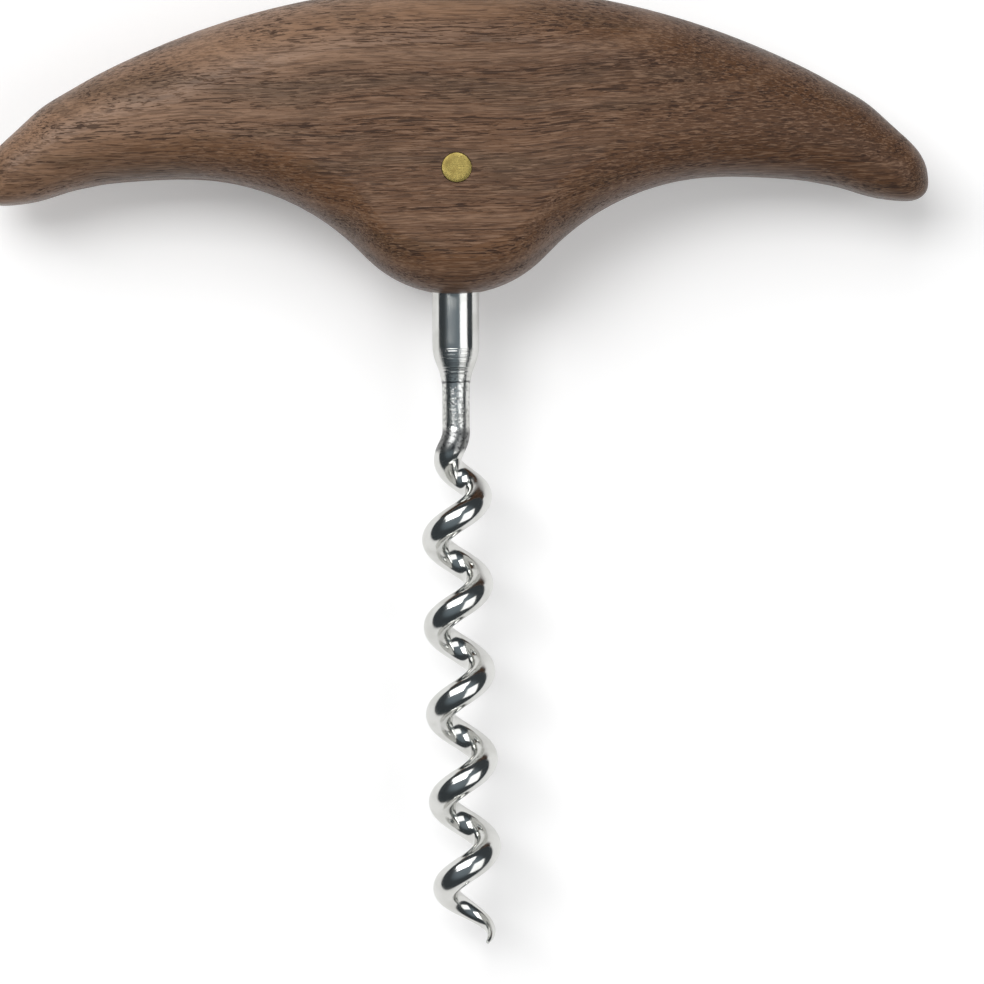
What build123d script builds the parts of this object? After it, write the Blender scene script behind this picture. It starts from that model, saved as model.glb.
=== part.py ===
"""T-handle corkscrew, lying on its back: a walnut handle, a steel screw and a brass cross pin.

The frame: X runs along the handle, -Y along the screw towards its point, +Z up out of the handle's front.
The origin is the middle of the handle's flat back, which lies on Z = 0.  Millimetres throughout.
"""

import os
from math import ceil, cos, pi, radians, sin, sqrt

from build123d import *

# Handle: its outline, seen from the front
handle_width = 126.0  # horn tip to horn tip
handle_height = 41.0  # top of the crown to the foot of the nose
crown_radius = 103.0  # long arc over the top
crown_sweep = 31.0  # degrees that the crown arc turns through on each side
nose_radius = 16.8  # rounded nose where the screw leaves
arch_radius = 32.4  # finger arch beside the nose
arch_rise = 15.6  # foot of the nose up to the top of the arch
horn_drop = 26.4  # top of the crown down to the outermost point of a horn
shoulder_inset = 3.4  # outermost point of a horn in to its shoulder
shoulder_drop = 20.15  # top of the crown down to that shoulder
heel_drop = 28.8  # top of the crown down to the lowest point of a horn
heel_inset = 2.7  # outermost point of a horn in to its lowest point
throat_inset = 12.0  # outermost point of a horn in to where its underside starts to drop
throat_drop = 26.9  # top of the crown down to the underside there

# Handle: its thickness and rounding
handle_thickness = 23.0  # between the planed front and back
taper_start = 16.0  # from the middle out to where the horns start to thin
horn_thickness = 12.2  # of a horn at its end, before that end is rounded
horn_end_radius = 4.0  # rounding of the horn's end, seen from above
crown_round_over = 8.5  # rounding of the long edges along the crown
foot_round_over = 6.0  # rounding of the long edges along the underside
face_crown = 0.15  # swell of the front and back before they are planed
edge_crown = 0.5  # swell of the edges between front and back
planed_off = 0.08  # taken off the swell to leave a flat

# Screw: the turned shank
shank_diameter = 6.3
shank_reach = 6.4  # shown below the nose before the taper
taper_length = 6.4
tang_depth = 30.0  # held inside the handle
tang_chamfer = 0.6

# Screw: the coiled worm
wire_diameter = 3.7
worm_diameter = 9.45  # over the outside of the coils
worm_pitch = 11.65
neck_length = 4.7  # straight wire between the taper and the coils
lead_in_turns = 0.806  # from the neck out to the full coil
coil_turns = 4.4  # at full size
point_turns = 0.7  # over which the wire is ground to a point
point_diameter = 0.5
worm_drift = 1.5  # sideways bow of the coil's axis at the point

# Cross pin and fits
pin_diameter = 4.0
pin_height = 16.5  # above the foot of the nose
pin_side = 0.3  # to the right of the middle
fit_gap = 0.03  # all round the tang and the pin
bore_end_gap = 0.5  # left above the tang

# Places that follow from the sizes
crown_y = handle_height / 2
nose_y = -handle_height / 2
tip_x = handle_width / 2
axis_z = handle_thickness / 2
pin_y = nose_y + pin_height
tang_y = nose_y + tang_depth
taper_y = nose_y - shank_reach
neck_y = taper_y - taper_length
coil_start_y = neck_y - neck_length
coil_radius = (worm_diameter - wire_diameter) / 2
worm_turns = lead_in_turns + coil_turns + point_turns
screw_axis = Axis((0, 0, axis_z), (0, 1, 0))


# Handle outline: the crown and the underside of the right half, both from the middle out to the horn's end
arch_y = nose_y + arch_rise
nose_centre = Vector(0, nose_y + nose_radius)
arch_centre_y = arch_y - arch_radius
arch_x = sqrt((nose_radius + arch_radius) ** 2 - (nose_centre.Y - arch_centre_y) ** 2)
arch_centre = Vector(arch_x, arch_centre_y)
flank = nose_centre + (arch_centre - nose_centre).normalized() * nose_radius
crown_turn = radians(crown_sweep)
crown_end = (crown_radius * sin(crown_turn), crown_y - crown_radius * (1 - cos(crown_turn)))
crown_end_heading = (cos(crown_turn), -sin(crown_turn))
shoulder = (tip_x - shoulder_inset, crown_y - shoulder_drop)
horn_end = (tip_x, crown_y - horn_drop)
heel = (tip_x - heel_inset, crown_y - heel_drop)
throat = (tip_x - throat_inset, crown_y - throat_drop)

with BuildLine() as crown_line:
    TangentArc((0, crown_y), crown_end, tangent=(1, 0))
    Spline(crown_end, shoulder, horn_end, tangents=(crown_end_heading, (0, -1)))

with BuildLine() as under_line:
    TangentArc((0, nose_y), flank, tangent=(1, 0))
    TangentArc((arch_x, arch_y), flank, tangent=(-1, 0))
    Spline((arch_x, arch_y), throat, heel, tangents=((1, 0), (1, 0)))
    Spline(heel, horn_end, tangents=((1, 0), (0, 1)))


def half_thickness(x):
    """Half the handle's thickness at a distance x from the middle, before it is planed."""
    half = handle_thickness / 2 + planed_off
    out = max(0, x - taper_start) / (tip_x - taper_start)
    half -= (half - horn_thickness / 2) * out**2
    past = max(0, x - tip_x + horn_end_radius)
    return half - horn_end_radius + sqrt(horn_end_radius**2 - past**2)


def handle_section(share, side):
    """The handle cut across at a share of the way from the middle to a horn's end, on one side."""
    crown = crown_line.wires()[0]
    under = under_line.wires()[0]
    top = crown @ share
    foot = under @ share
    chord = top - foot
    up = chord.normalized()
    half_high = chord.length / 2
    half_thick = half_thickness((top.X + foot.X) / 2)
    most = 0.94 * min(half_high, half_thick)
    top_round = min(crown_round_over / abs(up.cross(crown % share).Z), most)
    foot_round = min(foot_round_over / abs(up.cross(under % share).Z), most)
    face_swell = face_crown * min(1, half_high / 12)
    edge_swell = edge_crown * min(1, half_high / 12)
    thick = half_thick - face_swell
    high = half_high - edge_swell
    middle = (top + foot) / 2
    plane = Plane(
        origin=(side * middle.X, middle.Y, axis_z),
        x_dir=(0, 0, 1),
        z_dir=Vector(0, 0, 1).cross(Vector(side * up.X, up.Y)),
    )
    with BuildSketch(plane) as section:
        with BuildLine():
            ThreePointArc((-thick, -high), (0, -half_high), (thick, -high))
            ThreePointArc((thick, -high), (half_thick, 0), (thick, high))
            ThreePointArc((thick, high), (0, half_high), (-thick, high))
            ThreePointArc((-thick, high), (-half_thick, 0), (-thick, -high))
        make_face()
        fillet(section.vertices().group_by(Axis.Y)[0], foot_round)
        fillet(section.vertices().group_by(Axis.Y)[-1], top_round)
    return section.sketch.faces()[0]


# Shares of the way out to a horn's end at which the handle is cut across, closer together towards that end
inner_shares = [0.07, 0.14, 0.21, 0.28, 0.36, 0.45, 0.54, 0.63]
outer_shares = [0.71, 0.78, 0.84, 0.89, 0.93, 0.96, 0.98, 0.993]
section_shares = inner_shares + outer_shares
left_sections = [handle_section(share, -1) for share in reversed(section_shares)]
right_sections = [handle_section(share, 1) for share in section_shares]

# Handle: one block, lofted from horn to horn, planed, bored for the tang and drilled for the pin
with BuildPart() as handle:
    loft(left_sections + [handle_section(0, 1)] + right_sections)
    split(bisect_by=Plane.XY, keep=Keep.TOP)
    split(bisect_by=Plane.XY.offset(handle_thickness), keep=Keep.BOTTOM)
    with Locations(Plane(origin=(0, nose_y - 1, axis_z), z_dir=(0, -1, 0))):
        Hole(shank_diameter / 2 + fit_gap, depth=1 + tang_depth + bore_end_gap)
    with Locations((pin_side, pin_y, handle_thickness)):
        Hole(pin_diameter / 2 + fit_gap, depth=handle_thickness)

# Cross pin: a rod, sanded flush with the front and the back
with BuildPart() as cross_pin:
    with BuildSketch(Plane.XY):
        with Locations((pin_side, pin_y)):
            Circle(pin_diameter / 2)
    extrude(amount=handle_thickness)


def ease(share):
    """Rises from 0 to 1 with level ends."""
    share = min(max(share, 0), 1)
    return share * share * (3 - 2 * share)


def wire_radius(turn):
    """Radius of the worm's wire at a turn counted from the end of the neck."""
    ground = max(0, turn - lead_in_turns - coil_turns) / point_turns
    return wire_diameter / 2 - (wire_diameter - point_diameter) / 2 * ground * (0.5 + 0.5 * ground)


def worm_point(turn):
    """Centre of the worm's wire: out from the neck, round the coil and on to the point."""
    angle = 2 * pi * (turn - lead_in_turns)
    reach = coil_radius * ease(turn / lead_in_turns)
    drift = worm_drift * (turn / worm_turns) ** 2
    return Vector(drift + reach * cos(angle), coil_start_y - worm_pitch * turn, axis_z + reach * sin(angle))


def worm_heading(turn):
    """Direction of the worm's wire."""
    step = 0.0005
    if turn < step:
        return Vector(0, -1, 0)
    return (worm_point(turn + step) - worm_point(turn - step)).normalized()


def wire_plane(turn):
    """Plane across the worm's wire, turned steadily about it."""
    outward = Vector(cos(2 * pi * (turn - lead_in_turns)), 0, sin(2 * pi * (turn - lead_in_turns)))
    heading = worm_heading(turn)
    return Plane(origin=worm_point(turn), x_dir=outward - heading * outward.dot(heading), z_dir=heading)


def biarc(start, start_heading, end, end_heading):
    """Two arcs that leave the start and meet the end in the given directions."""
    gap = end - start
    both = start_heading + end_heading
    spread = 2 * (1 - start_heading.dot(end_heading))
    reach = (sqrt(gap.dot(both) ** 2 + spread * gap.dot(gap)) - gap.dot(both)) / spread
    middle = (start + end + (start_heading - end_heading) * reach) / 2
    across = (end - end_heading * reach) - (start + start_heading * reach)
    TangentArc(start, middle, tangent=start_heading)
    TangentArc(middle, end, tangent=across.normalized())


coil_end = lead_in_turns + coil_turns
path_steps = round(coil_end * 6)
path_turns = [coil_end * step / path_steps for step in range(path_steps + 1)]
point_spans = ceil(point_turns / 0.4)
span_steps = 5

# Screw: turned shank and tang, then the coiled worm and its ground point, all one piece of steel
with BuildPart() as screw:
    with BuildSketch(Plane.XY.offset(axis_z)):
        with BuildLine():
            taper_middle = ((shank_diameter + wire_diameter) / 4, (taper_y + neck_y) / 2)
            Polyline(
                (0, coil_start_y),
                (0, tang_y),
                (shank_diameter / 2 - tang_chamfer, tang_y),
                (shank_diameter / 2, tang_y - tang_chamfer),
                (shank_diameter / 2, taper_y),
            )
            TangentArc((shank_diameter / 2, taper_y), taper_middle, tangent=(0, -1))
            TangentArc((wire_diameter / 2, neck_y), taper_middle, tangent=(0, 1))
            Polyline((wire_diameter / 2, neck_y), (wire_diameter / 2, coil_start_y), (0, coil_start_y))
        make_face()
    revolve(axis=screw_axis)
    with BuildLine() as worm_path:
        for first, second in zip(path_turns, path_turns[1:]):
            biarc(worm_point(first), worm_heading(first), worm_point(second), worm_heading(second))
    with BuildSketch(Plane(origin=worm_point(0), z_dir=(0, -1, 0))):
        Circle(wire_diameter / 2)
    sweep(path=worm_path.wires()[0])
    for span in range(point_spans):
        for step in range(span_steps + 1):
            turn = coil_end + point_turns * (span + step / span_steps) / point_spans
            with BuildSketch(wire_plane(turn)):
                Circle(wire_radius(turn))
        loft()
    with Locations((pin_side, pin_y, axis_z + shank_diameter)):
        Hole(pin_diameter / 2 + fit_gap, depth=2 * shank_diameter)

# The least clear gap between one turn of the worm and another, measured on points along the wire
samples = [worm_turns * step / 400 for step in range(401)]
worm_gap = min(
    (worm_point(one) - worm_point(other)).length - wire_radius(one) - wire_radius(other)
    for one in samples
    for other in samples
    if other - one > 0.45
)
print("least gap between the worm's turns", round(worm_gap, 2))

os.makedirs("parts", exist_ok=True)
handle.part.label = "handle"
export_step(handle.part, "parts/handle.step")
cross_pin.part.label = "cross_pin"
export_step(cross_pin.part, "parts/cross_pin.step")
screw.part.label = "screw"
export_step(screw.part, "parts/screw.step")
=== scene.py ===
"""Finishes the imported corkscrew: walnut handle, bright steel screw and brass cross pin on a pale table."""

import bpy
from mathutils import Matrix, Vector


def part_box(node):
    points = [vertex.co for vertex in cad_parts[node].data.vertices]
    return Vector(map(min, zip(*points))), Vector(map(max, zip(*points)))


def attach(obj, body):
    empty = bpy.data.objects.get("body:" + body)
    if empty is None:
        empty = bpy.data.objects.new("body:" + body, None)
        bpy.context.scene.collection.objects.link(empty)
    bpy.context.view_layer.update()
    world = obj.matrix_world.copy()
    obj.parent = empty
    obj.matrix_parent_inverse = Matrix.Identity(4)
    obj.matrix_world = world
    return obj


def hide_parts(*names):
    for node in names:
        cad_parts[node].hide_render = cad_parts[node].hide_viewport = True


bl_info = {
    "name": "Pull corkscrew",
    "version": (1, 0, 0),
    "blender": (4, 5, 0),
    "location": "View3D > Sidebar > Corkscrew",
    "description": "Shapes and finishes a wooden T-handle corkscrew around its packed frame",
    "category": "Object",
}

from math import cos, pi, radians, sin, sqrt

import bmesh
import bpy
from mathutils import Matrix, Vector

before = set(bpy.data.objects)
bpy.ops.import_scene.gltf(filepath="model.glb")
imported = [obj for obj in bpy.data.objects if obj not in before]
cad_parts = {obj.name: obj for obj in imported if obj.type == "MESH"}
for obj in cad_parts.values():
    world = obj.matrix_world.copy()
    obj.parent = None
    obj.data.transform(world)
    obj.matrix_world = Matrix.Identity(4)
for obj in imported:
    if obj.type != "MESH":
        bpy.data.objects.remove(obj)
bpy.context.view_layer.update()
PIN_LOW, PIN_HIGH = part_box("cross_pin")
MM = 0.001


def size(name, description, default):
    """A length that the sidebar shows in scene units."""
    return bpy.props.FloatProperty(
        name=name, description=description, default=default, unit="LENGTH", precision=5
    )


def number(name, description, default):
    """A plain number that the sidebar shows."""
    return bpy.props.FloatProperty(name=name, description=description, default=default)


def count(name, description, default):
    """A whole number that the sidebar shows."""
    return bpy.props.IntProperty(name=name, description=description, default=default, min=1)


def angle(name, description, default):
    """An angle that the sidebar shows in degrees."""
    return bpy.props.FloatProperty(
        name=name, description=description, default=radians(default), subtype="ANGLE"
    )


def power(name, description, default):
    """A lamp's power that the sidebar shows in watts."""
    return bpy.props.FloatProperty(name=name, description=description, default=default, unit="POWER")


def tint(name, description, default):
    """A colour that the sidebar shows."""
    return bpy.props.FloatVectorProperty(
        name=name, description=description, default=default, subtype="COLOR", size=4, min=0, max=1
    )


class HandleFinish(bpy.types.PropertyGroup):
    """Colours and grain of the walnut handle, and its painted sheen and painted shade"""

    mid: tint("Walnut", "Body colour of the wood", (0.142, 0.071, 0.036, 1))
    # The light colour also paints the sheen towards the upper left of the handle.
    light: tint("Walnut light", "Pale streaks of the wood", (0.335, 0.205, 0.130, 1))
    # The dark colour also paints the shade towards the right tip of the handle.
    dark: tint("Walnut dark", "Dark streaks of the wood", (0.053, 0.0235, 0.0120, 1))
    smoky: tint("Walnut smoky", "Grey-brown clouds in the wood", (0.080, 0.050, 0.029, 1))
    pore: tint("Walnut pores", "Open pores and vessel lines", (0.020, 0.0080, 0.0045, 1))
    band_width: number("Band width", "Of a growth band, in millimetres", 2.4)
    pore_length: number("Pore length", "Of an open pore along the grain, in millimetres", 3.6)


class ScrewSizes(bpy.types.PropertyGroup):
    """Sizes and colour of the steel screw"""

    axis_height: size("Axis height", "Of the screw's middle above the table", 11.5 * MM)
    tang_top: size("Tang top", "Hidden end of the tang in the handle", 9.5 * MM)
    shank_end: size("Shank end", "Where the shank starts to taper", -26.9 * MM)
    shank_diameter: size("Shank diameter", "Turned bar above the worm", 6.3 * MM)
    taper_length: size("Taper length", "From the shank down to the wire", 6.4 * MM)
    tang_chamfer: size("Tang chamfer", "At the hidden end in the handle", 0.6 * MM)
    neck_length: size("Neck length", "Straight wire above the coils", 4.7 * MM)
    wire_diameter: size("Wire diameter", "Of the worm", 3.7 * MM)
    worm_diameter: size("Worm diameter", "Over the outside of the coils", 9.45 * MM)
    worm_pitch: size("Worm pitch", "From one turn to the next", 11.65 * MM)
    worm_drift: size("Worm drift", "Sideways bow of the coil's axis at the point", 1.5 * MM)
    point_diameter: size("Point diameter", "Of the ground end", 0.5 * MM)
    lead_in_turns: number("Lead-in turns", "From the neck out to the full coil", 0.806)
    coil_turns: number("Coil turns", "At full size", 4.4)
    point_turns: number("Point turns", "Ground to a point", 0.7)
    sides: count("Sides", "Faces round the bar", 48)
    turn_steps: count("Turn steps", "Faces along one turn of the worm", 80)
    steel: tint("Steel", "Bright steel", (0.66, 0.66, 0.64, 1))
    steel_dull: tint("Steel dull", "Handled, slightly dulled steel", (0.52, 0.52, 0.49, 1))
    stain: tint("Steel stain", "Dark marks left where the wire was drawn and bent", (0.055, 0.056, 0.060, 1))


class PinSizes(bpy.types.PropertyGroup):
    """Sizes and colours of the brass cross pin"""

    place_x: size("Place X", "Of the pin to the right of the middle", (PIN_LOW[0] + PIN_HIGH[0]) / 2)
    place_y: size("Place Y", "Of the pin along the screw", (PIN_LOW[1] + PIN_HIGH[1]) / 2)
    diameter: size("Diameter", "Of the rod", PIN_HIGH[0] - PIN_LOW[0])
    length: size("Length", "Flush with both faces of the handle", PIN_HIGH[2] - PIN_LOW[2])
    edge_break: size("Edge break", "Softened rim at each end", 0.1 * MM)
    sides: count("Sides", "Faces round the rod", 96)
    brass: tint("Brass", "Sanded brass", (0.315, 0.242, 0.076, 1))
    tarnish: tint("Brass tarnish", "Dulled brass", (0.21, 0.152, 0.045, 1))


class StageSettings(bpy.types.PropertyGroup):
    """Camera, table and studio light"""

    lens: number("Lens", "Focal length in millimetres", 300.0)
    view_width: size("View width", "Width of the picture at the screw's axis", 131.2 * MM)
    view_x: size("View centre X", "Where the camera looks", 4.733 * MM)
    view_y: size("View centre Y", "Where the camera looks", -46.86 * MM)
    roll: angle("Roll", "Turn of the camera about its view", -0.3)
    key_power: power("Key power", "Large softbox above, leaning to the upper left", 7.8)
    back_power: power("Back power", "Wide softbox behind the key, lower down", 4.2)
    side_power: power("Side power", "Smaller softbox, right", 4.2)
    fill: number("Fill", "Even light from all round", 0.24)
    table: tint("Table", "Pale table under the corkscrew", (0.87, 0.87, 0.87, 1))
    table_cloud: tint("Table clouds", "Faint soft clouds on the table", (0.85, 0.85, 0.86, 1))
    table_lift: number("Table lift", "White that the eye adds to the table", 0.20)
    walls: tint("Walls", "Dark studio walls that bright metal mirrors", (0.050, 0.058, 0.064, 1))
    ceiling: tint("Ceiling", "Grey studio ceiling that bright metal mirrors", (0.175, 0.212, 0.240, 1))


def nothing_selected():
    """Leaves object mode with nothing selected."""
    if bpy.context.object and bpy.context.object.mode != "OBJECT":
        bpy.ops.object.mode_set(mode="OBJECT")
    bpy.ops.object.select_all(action="DESELECT")


def select_edges(piece, wanted):
    """Selects, in edit mode, the edges whose two ends pass the test."""
    bpy.ops.mesh.select_mode(type="EDGE")
    bpy.ops.mesh.select_all(action="DESELECT")
    mesh = bmesh.from_edit_mesh(piece.data)
    picked = 0
    for edge in mesh.edges:
        if wanted(*[corner.co for corner in edge.verts]):
            edge.select_set(True)
            picked += 1
    bmesh.update_edit_mesh(piece.data)
    if not picked:
        raise RuntimeError("no edges found on " + piece.name)


def select_faces(piece, wanted):
    """Selects, in edit mode, the faces whose middle and normal pass the test."""
    bpy.ops.mesh.select_mode(type="FACE")
    bpy.ops.mesh.select_all(action="DESELECT")
    mesh = bmesh.from_edit_mesh(piece.data)
    picked = 0
    for face in mesh.faces:
        if wanted(face.calc_center_median(), face.normal):
            face.select_set(True)
            picked += 1
    bmesh.update_edit_mesh(piece.data)
    if not picked:
        raise RuntimeError("no faces found on " + piece.name)


def put(tree, kind, inputs=None, **settings):
    """Adds a node, sets it up, and joins or fills its inputs."""
    node = tree.nodes.new(kind)
    node.location = (len(tree.nodes) % 12 * 190, -(len(tree.nodes) // 12) * 260)
    for name, value in settings.items():
        setattr(node, name, value)
    for socket, value in (inputs or {}).items():
        if isinstance(value, bpy.types.NodeSocket):
            tree.links.new(value, node.inputs[socket])
        else:
            node.inputs[socket].default_value = value
    return node


def reckon(tree, operation, first, second=0.0):
    """One sum on values."""
    return put(tree, "ShaderNodeMath", {0: first, 1: second}, operation=operation).outputs[0]


def rescale(tree, value, low, high, new_low=0.0, new_high=1.0):
    """Stretches part of a value's range, smooth at both ends."""
    inputs = {"Value": value, "From Min": low, "From Max": high, "To Min": new_low, "To Max": new_high}
    return put(tree, "ShaderNodeMapRange", inputs, interpolation_type="SMOOTHSTEP").outputs["Result"]


def blend(tree, share, first, second, mode="MIX"):
    """Mixes two colours."""
    node = put(tree, "ShaderNodeMix", {"Factor": share}, data_type="RGBA", blend_type=mode)
    for socket, value in ((6, first), (7, second)):
        if isinstance(value, bpy.types.NodeSocket):
            tree.links.new(value, node.inputs[socket])
        else:
            node.inputs[socket].default_value = value
    return node.outputs[2]


def new_group(name, inputs, outputs):
    """An empty shader node group with named sockets."""
    group = bpy.data.node_groups.new(name, "ShaderNodeTree")
    for label, kind, default in inputs:
        socket = group.interface.new_socket(label, in_out="INPUT", socket_type=kind)
        if default is not None:
            socket.default_value = default
    for label, kind in outputs:
        group.interface.new_socket(label, in_out="OUTPUT", socket_type=kind)
    return group, group.nodes.new("NodeGroupInput").outputs, group.nodes.new("NodeGroupOutput").inputs


def streak_group():
    """Streaks that run along X: pores and fibres in wood, sanding and drawing marks on metal."""
    found = bpy.data.node_groups.get("streaks")
    if found:
        return found
    group, given, made = new_group(
        "streaks",
        [
            ("Place", "NodeSocketVector", None),
            ("Length", "NodeSocketFloat", 6.0),
            ("Width", "NodeSocketFloat", 0.2),
            ("Start", "NodeSocketFloat", 0.55),
            ("Full", "NodeSocketFloat", 0.70),
        ],
        [("Mask", "NodeSocketFloat"), ("Soft", "NodeSocketFloat")],
    )
    axes = put(group, "ShaderNodeSeparateXYZ", {0: given["Place"]})
    along = reckon(group, "DIVIDE", axes.outputs[0], given["Length"])
    across = reckon(group, "DIVIDE", axes.outputs[1], given["Width"])
    deep = reckon(group, "DIVIDE", axes.outputs[2], given["Width"])
    place = put(group, "ShaderNodeCombineXYZ", {0: along, 1: across, 2: deep}).outputs[0]
    inputs = {"Vector": place, "Scale": 1.0, "Detail": 2.0, "Roughness": 0.55}
    noise = put(group, "ShaderNodeTexNoise", inputs)
    mask = rescale(group, noise.outputs["Fac"], given["Start"], given["Full"])
    group.links.new(mask, made["Mask"])
    group.links.new(noise.outputs["Fac"], made["Soft"])
    return group


def patch_group():
    """Soft patches of handling: where a surface is rubbed brighter or left duller."""
    found = bpy.data.node_groups.get("handling_patches")
    if found:
        return found
    group, given, made = new_group(
        "handling_patches",
        [
            ("Place", "NodeSocketVector", None),
            ("Patch size", "NodeSocketFloat", 8.0),
            ("Start", "NodeSocketFloat", 0.40),
            ("Full", "NodeSocketFloat", 0.65),
        ],
        [("Mask", "NodeSocketFloat")],
    )
    spread = reckon(group, "DIVIDE", 1.0, given["Patch size"])
    noise = put(group, "ShaderNodeTexNoise", {"Vector": given["Place"], "Scale": spread, "Detail": 4.0})
    mask = rescale(group, noise.outputs["Fac"], given["Start"], given["Full"])
    group.links.new(mask, made["Mask"])
    return group


def streaks(tree, place, length, width, start, full):
    """Places the streaks group with its own values."""
    node = put(tree, "ShaderNodeGroup", node_tree=streak_group())
    tree.links.new(place, node.inputs["Place"])
    for label, value in (("Length", length), ("Width", width), ("Start", start), ("Full", full)):
        node.inputs[label].default_value = value
    return node.outputs


def patches(tree, place, patch_size, start, full):
    """Places the handling patches group with its own values."""
    node = put(tree, "ShaderNodeGroup", node_tree=patch_group())
    tree.links.new(place, node.inputs["Place"])
    for label, value in (("Patch size", patch_size), ("Start", start), ("Full", full)):
        node.inputs[label].default_value = value
    return node.outputs["Mask"]


def new_finish(name):
    """A material with its shader, and its place on the piece in millimetres."""
    finish = bpy.data.materials.new(name)
    finish.use_nodes = True
    tree = finish.node_tree
    shader = tree.nodes["Principled BSDF"]
    coordinates = put(tree, "ShaderNodeTexCoord").outputs["Object"]
    place = put(tree, "ShaderNodeVectorMath", {0: coordinates, "Scale": 1000.0}, operation="SCALE").outputs[0]
    return finish, tree, shader, place


def part_of(tree, value, share):
    """A fixed share of a value."""
    return reckon(tree, "MULTIPLY", value, share)


def line_noise(tree, value, scale, detail):
    """Noise along one line."""
    inputs = {"W": value, "Scale": scale, "Detail": detail}
    return put(tree, "ShaderNodeTexNoise", inputs, noise_dimensions="1D").outputs[0]


def paint(tree, shader, ground, layers):
    """Lays colours over a ground colour, each by its own mask."""
    colour = ground
    for mask, layer in layers:
        colour = blend(tree, mask, colour, layer)
    tree.links.new(colour, shader.inputs["Base Color"])


def roughen(tree, shader, base, shares):
    """Roughness from a base value and a share of each mask."""
    rough = base
    for mask, share in shares:
        rough = reckon(tree, "ADD", part_of(tree, mask, share), rough)
    tree.links.new(rough, shader.inputs["Roughness"])


def raise_marks(tree, shader, height, strength, depth):
    """Bumps a finish by a height, to a depth in metres."""
    bump = put(tree, "ShaderNodeBump", {"Height": height, "Strength": strength, "Distance": depth})
    tree.links.new(bump.outputs["Normal"], shader.inputs["Normal"])


def wavy_grain(tree, place):
    """Places along the grain, which runs along the handle, leans a little and sways."""
    sway_spread = 0.022
    sway_reach = (0, 4.0, 4.0)
    middle = (0.5, 0.5, 0.5)
    lean = (0, radians(2), radians(-1.5))
    inputs = {"Vector": place, "Scale": sway_spread, "Detail": 2.0}
    sway = put(tree, "ShaderNodeTexNoise", inputs).outputs["Color"]
    sway = put(tree, "ShaderNodeVectorMath", {0: sway, 1: middle}, operation="SUBTRACT").outputs[0]
    sway = put(tree, "ShaderNodeVectorMath", {0: sway, 1: sway_reach}, operation="MULTIPLY").outputs[0]
    grain = put(tree, "ShaderNodeVectorMath", {0: place, 1: sway}, operation="ADD").outputs[0]
    return put(tree, "ShaderNodeMapping", {"Vector": grain, "Rotation": lean}).outputs[0]


def growth_rings(tree, axes, band_width):
    """Fine and broad bands round the heart of the tree, which lay below and behind the handle."""
    heart_below = 85.0
    heart_behind = 55.0
    broad_bands_per_fine = 0.23
    high = reckon(tree, "ADD", axes[1], heart_below)
    deep = reckon(tree, "ADD", axes[2], heart_behind)
    ring = put(tree, "ShaderNodeCombineXYZ", {1: high, 2: deep}).outputs[0]
    ring = put(tree, "ShaderNodeVectorMath", {0: ring}, operation="LENGTH").outputs["Value"]
    ring = reckon(tree, "DIVIDE", ring, band_width)
    band = line_noise(tree, ring, scale=1.0, detail=3.0)
    broad = line_noise(tree, part_of(tree, ring, broad_bands_per_fine), scale=1.0, detail=2.0)
    return band, broad


def painted_sheen_side(tree, axes, soft):
    """Mask of painted sheen: the wood is painted paler towards the upper left, where the light falls, with a
    streaky edge.
    """
    slope = -0.40
    edge_reach = 22.0
    edge_start = 16.0
    edge_end = 40.0
    across = reckon(tree, "ADD", part_of(tree, axes[0], slope), axes[1])
    across = reckon(tree, "ADD", across, part_of(tree, soft, edge_reach))
    return rescale(tree, across, edge_start, edge_end)


def open_pores(tree, grain, band, pore_length):
    """Mask of the short dark pores and vessel lines, densest in the early wood."""
    pore = streaks(tree, grain, length=pore_length, width=0.26, start=0.575, full=0.622)
    fine = streaks(tree, grain, length=1.9, width=0.17, start=0.60, full=0.64)
    vessel = streaks(tree, grain, length=9.0, width=0.34, start=0.610, full=0.650)
    mask = reckon(tree, "MAXIMUM", pore["Mask"], part_of(tree, fine["Mask"], 0.8))
    mask = reckon(tree, "MAXIMUM", mask, part_of(tree, vessel["Mask"], 0.9))
    early_wood = rescale(tree, band, low=0.66, high=0.36, new_low=0.45, new_high=1.0)
    return reckon(tree, "MULTIPLY", mask, early_wood)


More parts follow.
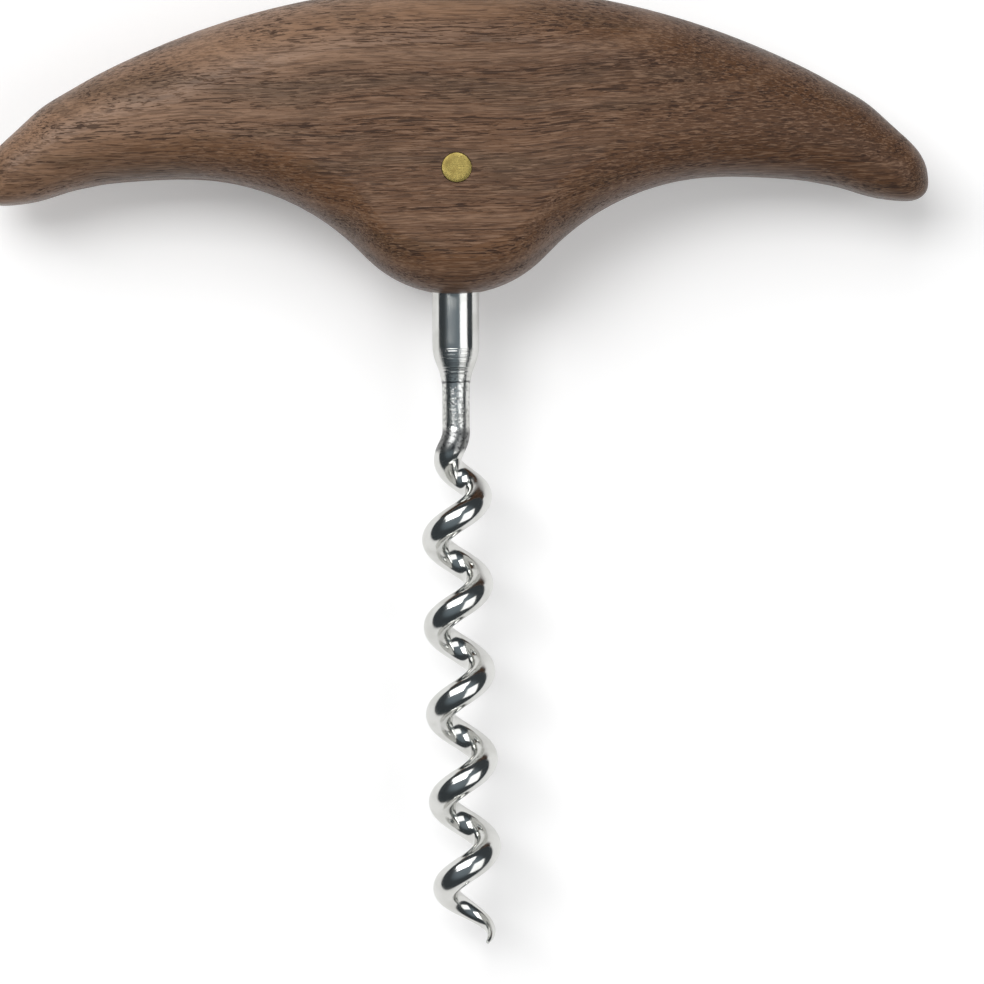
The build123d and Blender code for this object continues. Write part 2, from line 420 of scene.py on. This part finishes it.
def walnut(settings):
    """Oiled walnut with its grain along the handle, with painted sheen towards the upper left and painted
    shade towards the right tip.
    """
    finish, tree, shader, place = new_finish("walnut")
    grain = wavy_grain(tree, place)
    axes = put(tree, "ShaderNodeSeparateXYZ", {0: grain}).outputs
    band, broad = growth_rings(tree, axes, settings.band_width)
    streaky = streaks(tree, grain, length=55.0, width=3.2, start=0.42, full=0.68)
    cloud = streaks(tree, grain, length=26.0, width=4.6, start=0.50, full=0.66)
    fibre = streaks(tree, grain, length=6.0, width=0.30, start=0.44, full=0.62)
    hair = streaks(tree, grain, length=4.0, width=0.20, start=0.50, full=0.64)
    pores = open_pores(tree, grain, band, settings.pore_length)
    # Painted sheen: paler towards the upper left, where the light falls.
    pale = painted_sheen_side(tree, axes, streaky["Soft"])
    # Painted shade: darker towards the right tip, away from the light.
    painted_shade_right = rescale(tree, axes[0], low=4.0, high=48.0, new_low=0.0, new_high=0.46)
    layers = [
        (part_of(tree, pale, 0.78), settings.light),
        (rescale(tree, band, low=0.52, high=0.74, new_low=0.0, new_high=0.35), settings.light),
        (rescale(tree, broad, low=0.50, high=0.74, new_low=0.0, new_high=0.55), settings.dark),
        (part_of(tree, streaky["Mask"], 0.24), settings.dark),
        (part_of(tree, cloud["Mask"], 0.50), settings.smoky),
        (painted_shade_right, settings.dark),
        (part_of(tree, fibre["Mask"], 0.42), settings.dark),
        (part_of(tree, hair["Mask"], 0.36), settings.light),
        (part_of(tree, pores, 0.80), settings.pore),
    ]
    paint(tree, shader, settings.mid, layers)
    rubbed = patches(tree, place, patch_size=22.0, start=0.35, full=0.70)
    roughen(tree, shader, base=0.40, shares=[(rubbed, -0.07), (pores, 0.25)])
    shader.inputs["Specular IOR Level"].default_value = 0.22
    height = reckon(tree, "SUBTRACT", part_of(tree, fibre["Soft"], 0.5), pores)
    raise_marks(tree, shader, height, strength=0.4, depth=0.10 * MM)
    return finish


def screw_stations(settings):
    """Millimetres along Y where the taper, the neck and the coil start."""
    taper_top = settings.shank_end / MM
    neck_top = taper_top - settings.taper_length / MM
    coil_top = neck_top - settings.neck_length / MM
    return taper_top, neck_top, coil_top


def screw_zones(tree, along, settings):
    """Masks of the taper, the neck, and all that lies between the shank and the worm."""
    taper_top, neck_top, coil_top = screw_stations(settings)
    turned = rescale(tree, along, taper_top - 0.7, taper_top - 0.9)
    necked = rescale(tree, along, neck_top + 2.6, neck_top + 1.2)
    wound = rescale(tree, along, coil_top - 0.6, coil_top - 2.6)
    not_wound = reckon(tree, "SUBTRACT", 1.0, wound)
    on_taper = reckon(tree, "MULTIPLY", turned, reckon(tree, "SUBTRACT", 1.0, necked))
    on_neck = reckon(tree, "MULTIPLY", necked, not_wound)
    worked = reckon(tree, "MULTIPLY", turned, not_wound)
    return on_taper, on_neck, worked


def heat_marks(tree, place, along, mottle, settings):
    """Masks of the dark line round the top of the neck and of the scorched start of the coil."""
    line_above_neck = 1.45
    scorch_below_coil = 1.6
    wobble_reach = 0.7
    neck_top, coil_top = screw_stations(settings)[1:]
    wobble = put(tree, "ShaderNodeTexNoise", {"Vector": place, "Scale": 1.3, "Detail": 3.0}).outputs[0]
    wobbled = reckon(tree, "ADD", along, part_of(tree, wobble, wobble_reach))
    line = reckon(tree, "ABSOLUTE", reckon(tree, "SUBTRACT", wobbled, neck_top + line_above_neck))
    line = rescale(tree, line, low=0.22, high=0.06)
    scorch = reckon(tree, "ABSOLUTE", reckon(tree, "SUBTRACT", wobbled, coil_top - scorch_below_coil))
    scorch = rescale(tree, scorch, low=1.9, high=1.0)
    uneven = rescale(tree, mottle, low=0.0, high=1.0, new_low=0.70, new_high=0.95)
    return line, reckon(tree, "MULTIPLY", scorch, uneven)


def bright_steel(settings):
    """Turned and polished steel: rings round the taper, a drawn and mottled neck, a bright worm."""
    finish, tree, shader, place = new_finish("bright_steel")
    along = put(tree, "ShaderNodeSeparateXYZ", {0: place}).outputs[1]
    on_taper, on_neck, worked = screw_zones(tree, along, settings)
    mottle = patches(tree, place, patch_size=0.42, start=0.48, full=0.62)
    dulled = patches(tree, place, patch_size=3.2, start=0.42, full=0.66)
    line, scorch = heat_marks(tree, place, along, mottle, settings)
    stain = part_of(tree, reckon(tree, "MULTIPLY", on_neck, mottle), 0.42)
    stain = reckon(tree, "MAXIMUM", stain, part_of(tree, line, 0.8))
    stain = reckon(tree, "MAXIMUM", stain, scorch)
    layers = [(part_of(tree, dulled, 0.5), settings.steel_dull), (stain, settings.stain)]
    paint(tree, shader, settings.steel, layers)
    shader.inputs["Metallic"].default_value = 1.0
    shares = [(dulled, 0.05), (on_taper, 0.04), (on_neck, 0.05), (scorch, 0.22)]
    roughen(tree, shader, base=0.13, shares=shares)

    rings = line_noise(tree, along, scale=3.6, detail=2.0)
    ridged = part_of(tree, reckon(tree, "SUBTRACT", rings, 0.5), 2.2)
    quarter_turn = (0, 0, radians(90))
    lengthwise = put(tree, "ShaderNodeMapping", {"Vector": place, "Rotation": quarter_turn}).outputs[0]
    marks = streaks(tree, lengthwise, length=1.6, width=0.10, start=0.50, full=0.72)["Soft"]
    scored = part_of(tree, reckon(tree, "SUBTRACT", marks, 0.5), 0.30)
    pitted = part_of(tree, reckon(tree, "SUBTRACT", mottle, 0.3), 0.17)
    height = part_of(tree, marks, 0.05)
    for texture, zone in ((ridged, on_taper), (scored, worked), (pitted, on_neck)):
        height = reckon(tree, "ADD", height, reckon(tree, "MULTIPLY", texture, zone))
    raise_marks(tree, shader, height, strength=0.5, depth=0.08 * MM)
    return finish


def sanded_brass(settings):
    """Brass sanded flush with the wood, a little dull."""
    finish, tree, shader, place = new_finish("sanded_brass")
    scratch = streaks(tree, place, length=2.4, width=0.05, start=0.52, full=0.70)
    crossing_turn = (0, 0, radians(24))
    crossing = put(tree, "ShaderNodeMapping", {"Vector": place, "Rotation": crossing_turn}).outputs[0]
    swirl = streaks(tree, crossing, length=1.6, width=0.07, start=0.58, full=0.72)
    dulled = patches(tree, place, patch_size=1.3, start=0.42, full=0.68)
    layers = [
        (part_of(tree, dulled, 0.5), settings.tarnish),
        (part_of(tree, scratch["Mask"], 0.30), settings.tarnish),
    ]
    paint(tree, shader, settings.brass, layers)
    shader.inputs["Metallic"].default_value = 1.0
    roughen(tree, shader, base=0.34, shares=[(dulled, 0.12), (swirl["Mask"], 0.08)])
    height = reckon(tree, "ADD", scratch["Soft"], part_of(tree, swirl["Soft"], 0.6))
    raise_marks(tree, shader, height, strength=0.25, depth=0.05 * MM)
    return finish


def table_finish(settings):
    """Pale table that goes white behind the corkscrew and keeps its shadow."""
    finish, tree, shader, place = new_finish("pale_table")
    cloudy = patches(tree, place, patch_size=90.0, start=0.2, full=0.8)
    paint(tree, shader, settings.table, [(part_of(tree, cloudy, 0.15), settings.table_cloud)])
    shader.inputs["Roughness"].default_value = 0.9
    shader.inputs["Specular IOR Level"].default_value = 0.1
    rays = put(tree, "ShaderNodeLightPath").outputs
    seen = reckon(tree, "MAXIMUM", rays["Is Camera Ray"], rays["Is Glossy Ray"])
    seen = reckon(tree, "MAXIMUM", seen, rays["Is Transmission Ray"])
    strength = part_of(tree, seen, settings.table_lift)
    lift = put(tree, "ShaderNodeEmission", {"Color": (1, 1, 1, 1), "Strength": strength})
    both = put(tree, "ShaderNodeAddShader", {0: shader.outputs[0], 1: lift.outputs[0]})
    tree.links.new(both.outputs[0], tree.nodes["Material Output"].inputs["Surface"])
    return finish


def walls_finish(settings):
    """Dark walls of the studio under a grey ceiling."""
    finish, tree, shader, place = new_finish("studio_walls")
    wall_top = 1500.0
    ceiling_start = 2700.0
    height = put(tree, "ShaderNodeSeparateXYZ", {0: place}).outputs[2]
    overhead = rescale(tree, height, wall_top, ceiling_start)
    colour = blend(tree, overhead, settings.walls, settings.ceiling)
    glow = put(tree, "ShaderNodeEmission", {"Color": colour, "Strength": 1.0})
    tree.links.new(glow.outputs[0], tree.nodes["Material Output"].inputs["Surface"])
    return finish


def dress(piece, finish):
    """Gives a piece one material all over."""
    piece.data.materials.clear()
    piece.data.materials.append(finish)


class CORKSCREW_OT_handle(bpy.types.Operator):
    """Finish the handle in oiled walnut"""

    bl_idname = "corkscrew.handle"
    bl_label = "Walnut handle"

    def execute(self, context):
        handle = bpy.data.objects["handle"]
        dress(handle, walnut(context.scene.corkscrew_handle))
        return {"FINISHED"}


def ease(share):
    """Rises from 0 to 1 with level ends."""
    share = min(max(share, 0), 1)
    return share * share * (3 - 2 * share)


def worm_line(bar):
    """The line that the bar is wound along: straight to the neck, then round the coil to the point."""
    coil_start = bar.shank_end - bar.taper_length - bar.neck_length
    coil_radius = (bar.worm_diameter - bar.wire_diameter) / 2
    turns = bar.lead_in_turns + bar.coil_turns + bar.point_turns
    line = [Vector((0, bar.tang_top, bar.axis_height))]
    straight = 12
    for step in range(1, straight):
        down = bar.tang_top + (coil_start - bar.tang_top) * step / straight
        line.append(Vector((0, down, bar.axis_height)))
    steps = round(turns * bar.turn_steps * 2)
    for step in range(steps + 1):
        turn = turns * step / steps
        swing = 2 * pi * (turn - bar.lead_in_turns)
        reach = coil_radius * ease(turn / bar.lead_in_turns)
        drift = bar.worm_drift * (turn / turns) ** 2
        across = Vector((drift + reach * cos(swing), 0, bar.axis_height + reach * sin(swing)))
        line.append(across + Vector((0, coil_start - bar.worm_pitch * turn, 0)))
    return line


def bar_profile(bar, line):
    """The turned bar before it is wound: distances along it, and its radius there."""
    reach = [0.0]
    for before, after in zip(line, line[1:]):
        reach.append(reach[-1] + (after - before).length)
    shank = bar.shank_diameter / 2
    wire = bar.wire_diameter / 2
    taper_start = bar.tang_top - bar.shank_end
    profile = [(0, shank - bar.tang_chamfer), (bar.tang_chamfer, shank)]
    profile += [(taper_start * step / 6, shank) for step in range(1, 7)]
    steps = 24
    for step in range(1, steps + 1):
        share = step / steps
        radius = shank + (wire - shank) * taper_fall(bar, share)
        profile.append((taper_start + bar.taper_length * share, radius))
    neck_end = taper_start + bar.taper_length + bar.neck_length
    profile.append((neck_end, wire))
    turns = bar.lead_in_turns + bar.coil_turns + bar.point_turns
    rings = round(turns * bar.turn_steps)
    for ring in range(1, rings + 1):
        turn = turns * ring / rings
        ground = max(0, turn - bar.lead_in_turns - bar.coil_turns) / bar.point_turns
        radius = wire - (bar.wire_diameter - bar.point_diameter) / 2 * ground * (0.5 + 0.5 * ground)
        profile.append((reach[len(line) - 1 - 2 * (rings - ring)], radius))
    return profile


def taper_fall(bar, share):
    """How far the taper has fallen from the shank to the wire: two equal arcs that meet in the middle."""
    fall = (bar.shank_diameter - bar.wire_diameter) / 4
    half = bar.taper_length / 2
    radius = (half**2 + fall**2) / (2 * fall)
    run = bar.taper_length * share
    if run <= half:
        return (radius - sqrt(radius**2 - run**2)) / (2 * fall)
    return 1 - (radius - sqrt(radius**2 - (bar.taper_length - run) ** 2)) / (2 * fall)


class CORKSCREW_OT_screw(bpy.types.Operator):
    """Turn a steel bar, draw it down to wire and wind it into a worm with a ground point"""

    bl_idname = "corkscrew.screw"
    bl_label = "Steel screw"

    def execute(self, context):
        bar = context.scene.corkscrew_screw
        line = worm_line(bar)
        profile = bar_profile(bar, line)
        nothing_selected()
        bpy.ops.mesh.primitive_circle_add(
            vertices=bar.sides, radius=profile[0][1], fill_type="NGON", rotation=(0, pi / 2, 0)
        )
        screw = context.object
        screw.name = screw.data.name = "steel_screw"
        bpy.ops.object.transform_apply(location=True, rotation=True, scale=True)
        bpy.ops.object.mode_set(mode="EDIT")
        bpy.ops.mesh.select_all(action="SELECT")
        for (start, start_radius), (end, end_radius) in zip(profile, profile[1:]):
            bpy.ops.mesh.extrude_region_move(TRANSFORM_OT_translate={"value": (end - start, 0, 0)})
            if abs(end_radius - start_radius) > 1e-9:
                bpy.ops.transform.resize(value=(1, end_radius / start_radius, end_radius / start_radius))
        bpy.ops.mesh.select_all(action="SELECT")
        bpy.ops.mesh.normals_make_consistent(inside=False)
        bpy.ops.object.mode_set(mode="OBJECT")
        self.wind(context, screw, line)
        bpy.ops.object.shade_smooth_by_angle(angle=radians(40))
        dress(screw, bright_steel(bar))
        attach(screw, "root")
        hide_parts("screw")
        return {"FINISHED"}

    def wind(self, context, screw, line):
        """Bends the straight bar along the line."""
        bpy.ops.curve.primitive_nurbs_path_add()
        path = context.object
        path.name = "winding_line"
        path.data.splines.clear()
        path.data.twist_mode = "MINIMUM"
        spline = path.data.splines.new("POLY")
        spline.points.add(len(line) - 1)
        for point, place in zip(spline.points, line):
            point.co = (*place, 1)
        path.data.update_tag()
        nothing_selected()
        context.view_layer.objects.active = screw
        screw.select_set(True)
        winding = screw.modifiers.new("winding", "CURVE")
        winding.object = path
        winding.deform_axis = "POS_X"
        bpy.ops.object.modifier_apply(modifier=winding.name)
        bpy.data.objects.remove(path)
        bpy.ops.object.mode_set(mode="EDIT")
        bpy.ops.mesh.select_all(action="SELECT")
        bpy.ops.mesh.normals_make_consistent(inside=False)
        bpy.ops.object.mode_set(mode="OBJECT")


class CORKSCREW_OT_pin(bpy.types.Operator):
    """Cut a brass rod to length and break its edges"""

    bl_idname = "corkscrew.pin"
    bl_label = "Brass cross pin"

    def execute(self, context):
        pin = context.scene.corkscrew_pin
        nothing_selected()
        bpy.ops.mesh.primitive_cylinder_add(
            vertices=pin.sides,
            radius=pin.diameter / 2,
            depth=pin.length,
            location=(pin.place_x, pin.place_y, pin.length / 2),
        )
        rod = context.object
        rod.name = rod.data.name = "brass_cross_pin"
        bpy.ops.object.transform_apply(location=True, rotation=True, scale=True)
        bpy.ops.object.mode_set(mode="EDIT")
        select_edges(rod, lambda a, b: abs(a.z - b.z) < 1e-6)
        bpy.ops.mesh.bevel(offset=pin.edge_break, segments=3, affect="EDGES")
        select_faces(rod, lambda middle, normal: abs(normal.z) > 0.999)
        bpy.ops.mesh.inset(thickness=pin.diameter * 0.12)
        bpy.ops.mesh.inset(thickness=pin.diameter * 0.16)
        bpy.ops.mesh.select_all(action="SELECT")
        bpy.ops.mesh.normals_make_consistent(inside=False)
        bpy.ops.object.mode_set(mode="OBJECT")
        bpy.ops.object.shade_smooth_by_angle(angle=radians(40))
        dress(rod, sanded_brass(pin))
        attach(rod, "root")
        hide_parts("cross_pin")
        return {"FINISHED"}


def softbox(name, target, lean, wide, high, watts):
    """A rectangular lamp above a target, leaning towards +X and +Y by two angles and facing it."""
    away = 1.2
    lean_x, lean_y = radians(lean[0]), radians(lean[1])
    spread = sqrt(lean_x**2 + lean_y**2)
    way = Vector((lean_x / spread * sin(spread), lean_y / spread * sin(spread), cos(spread)))
    side = (Vector((1, 0, 0)) - way * way.x).normalized()
    bpy.ops.object.light_add(type="AREA")
    lamp = bpy.context.object
    lamp.name = lamp.data.name = name
    lamp.data.shape = "RECTANGLE"
    lamp.data.size = wide
    lamp.data.size_y = high
    lamp.data.energy = watts
    lamp.location = target + way * away
    lamp.rotation_euler = Matrix((side, way.cross(side), way)).transposed().to_euler()
    lamp.visible_camera = False
    return lamp


class CORKSCREW_OT_stage(bpy.types.Operator):
    """Set the table, the softboxes, the dark studio and the camera above"""

    bl_idname = "corkscrew.stage"
    bl_label = "Table, light and camera"

    def execute(self, context):
        stage = context.scene.corkscrew_stage
        scene = context.scene
        scene.view_settings.view_transform = "Standard"
        nothing_selected()
        bpy.ops.mesh.primitive_plane_add(size=6.0, location=(0, 0, -0.00002))
        table = context.object
        table.name = "pale_table"
        dress(table, table_finish(stage))
        bpy.ops.mesh.primitive_uv_sphere_add(segments=64, ring_count=32, radius=2.9, location=(0, 0, 0))
        walls = context.object
        walls.name = "studio_walls"
        dress(walls, walls_finish(stage))
        walls.visible_camera = False
        walls.visible_diffuse = False
        walls.visible_transmission = False
        walls.visible_shadow = False
        target = Vector((0, -0.05, 0.0115))
        key = softbox("key_softbox", target, (-18, 19), wide=0.92, high=0.42, watts=stage.key_power)
        back = softbox("back_softbox", target, (-21, 40.5), wide=1.28, high=0.48, watts=stage.back_power)
        side = softbox("side_softbox", target, (42, -15), wide=0.80, high=1.10, watts=stage.side_power)
        self.even_light(scene, stage)
        camera = self.camera(scene, stage)
        return {"FINISHED"}

    def even_light(self, scene, stage):
        """World that is white to the eye and to mirrors, and an even fill to everything else."""
        world = bpy.data.worlds.new("studio")
        scene.world = world
        world.use_nodes = True
        tree = world.node_tree
        tree.nodes.clear()
        rays = put(tree, "ShaderNodeLightPath").outputs
        seen = reckon(tree, "MAXIMUM", rays["Is Camera Ray"], rays["Is Glossy Ray"])
        seen = reckon(tree, "MAXIMUM", seen, rays["Is Transmission Ray"])
        fill = put(tree, "ShaderNodeBackground", {"Color": (1, 1, 1, 1), "Strength": stage.fill})
        white = put(tree, "ShaderNodeBackground", {"Color": (1, 1, 1, 1), "Strength": 1.0})
        mix = put(tree, "ShaderNodeMixShader", {0: seen, 1: fill.outputs[0], 2: white.outputs[0]})
        put(tree, "ShaderNodeOutputWorld", {"Surface": mix.outputs[0]})

    def camera(self, scene, stage):
        """Camera straight above, as in the photograph."""
        bpy.ops.object.camera_add()
        camera = bpy.context.object
        camera.name = "camera"
        camera.data.lens = stage.lens
        camera.data.sensor_width = 36.0
        camera.data.clip_start = 0.01
        camera.data.clip_end = 20.0
        away = stage.view_width * stage.lens / camera.data.sensor_width
        axis_height = scene.corkscrew_screw.axis_height
        camera.location = (stage.view_x, stage.view_y, axis_height + away)
        camera.rotation_euler = (0, 0, stage.roll)
        scene.camera = camera
        return camera


class CORKSCREW_PT_workshop(bpy.types.Panel):
    """Lists the corkscrew's pieces and their sizes"""

    bl_idname = "CORKSCREW_PT_workshop"
    bl_label = "Corkscrew"
    bl_space_type = "VIEW_3D"
    bl_region_type = "UI"
    bl_category = "Corkscrew"

    def draw(self, context):
        for operator, settings in STEPS:
            box = self.layout.box()
            box.operator(operator)
            group = getattr(context.scene, settings)
            for name in group.__annotations__:
                box.prop(group, name)


STEPS = [
    ("corkscrew.handle", "corkscrew_handle"),
    ("corkscrew.screw", "corkscrew_screw"),
    ("corkscrew.pin", "corkscrew_pin"),
    ("corkscrew.stage", "corkscrew_stage"),
]
GROUPS = {
    "corkscrew_handle": HandleFinish,
    "corkscrew_screw": ScrewSizes,
    "corkscrew_pin": PinSizes,
    "corkscrew_stage": StageSettings,
}
PARTS = [CORKSCREW_OT_handle, CORKSCREW_OT_screw, CORKSCREW_OT_pin, CORKSCREW_OT_stage, CORKSCREW_PT_workshop]


def register():
    for name, group in GROUPS.items():
        bpy.utils.register_class(group)
        setattr(bpy.types.Scene, name, bpy.props.PointerProperty(type=group))
    for part in PARTS:
        bpy.utils.register_class(part)


def unregister():
    for part in reversed(PARTS):
        bpy.utils.unregister_class(part)
    for name, group in GROUPS.items():
        delattr(bpy.types.Scene, name)
        bpy.utils.unregister_class(group)


def main():
    register()
    bpy.ops.corkscrew.handle()
    bpy.ops.corkscrew.screw()
    bpy.ops.corkscrew.pin()
    bpy.ops.corkscrew.stage()


if __name__ == "__main__":
    main()
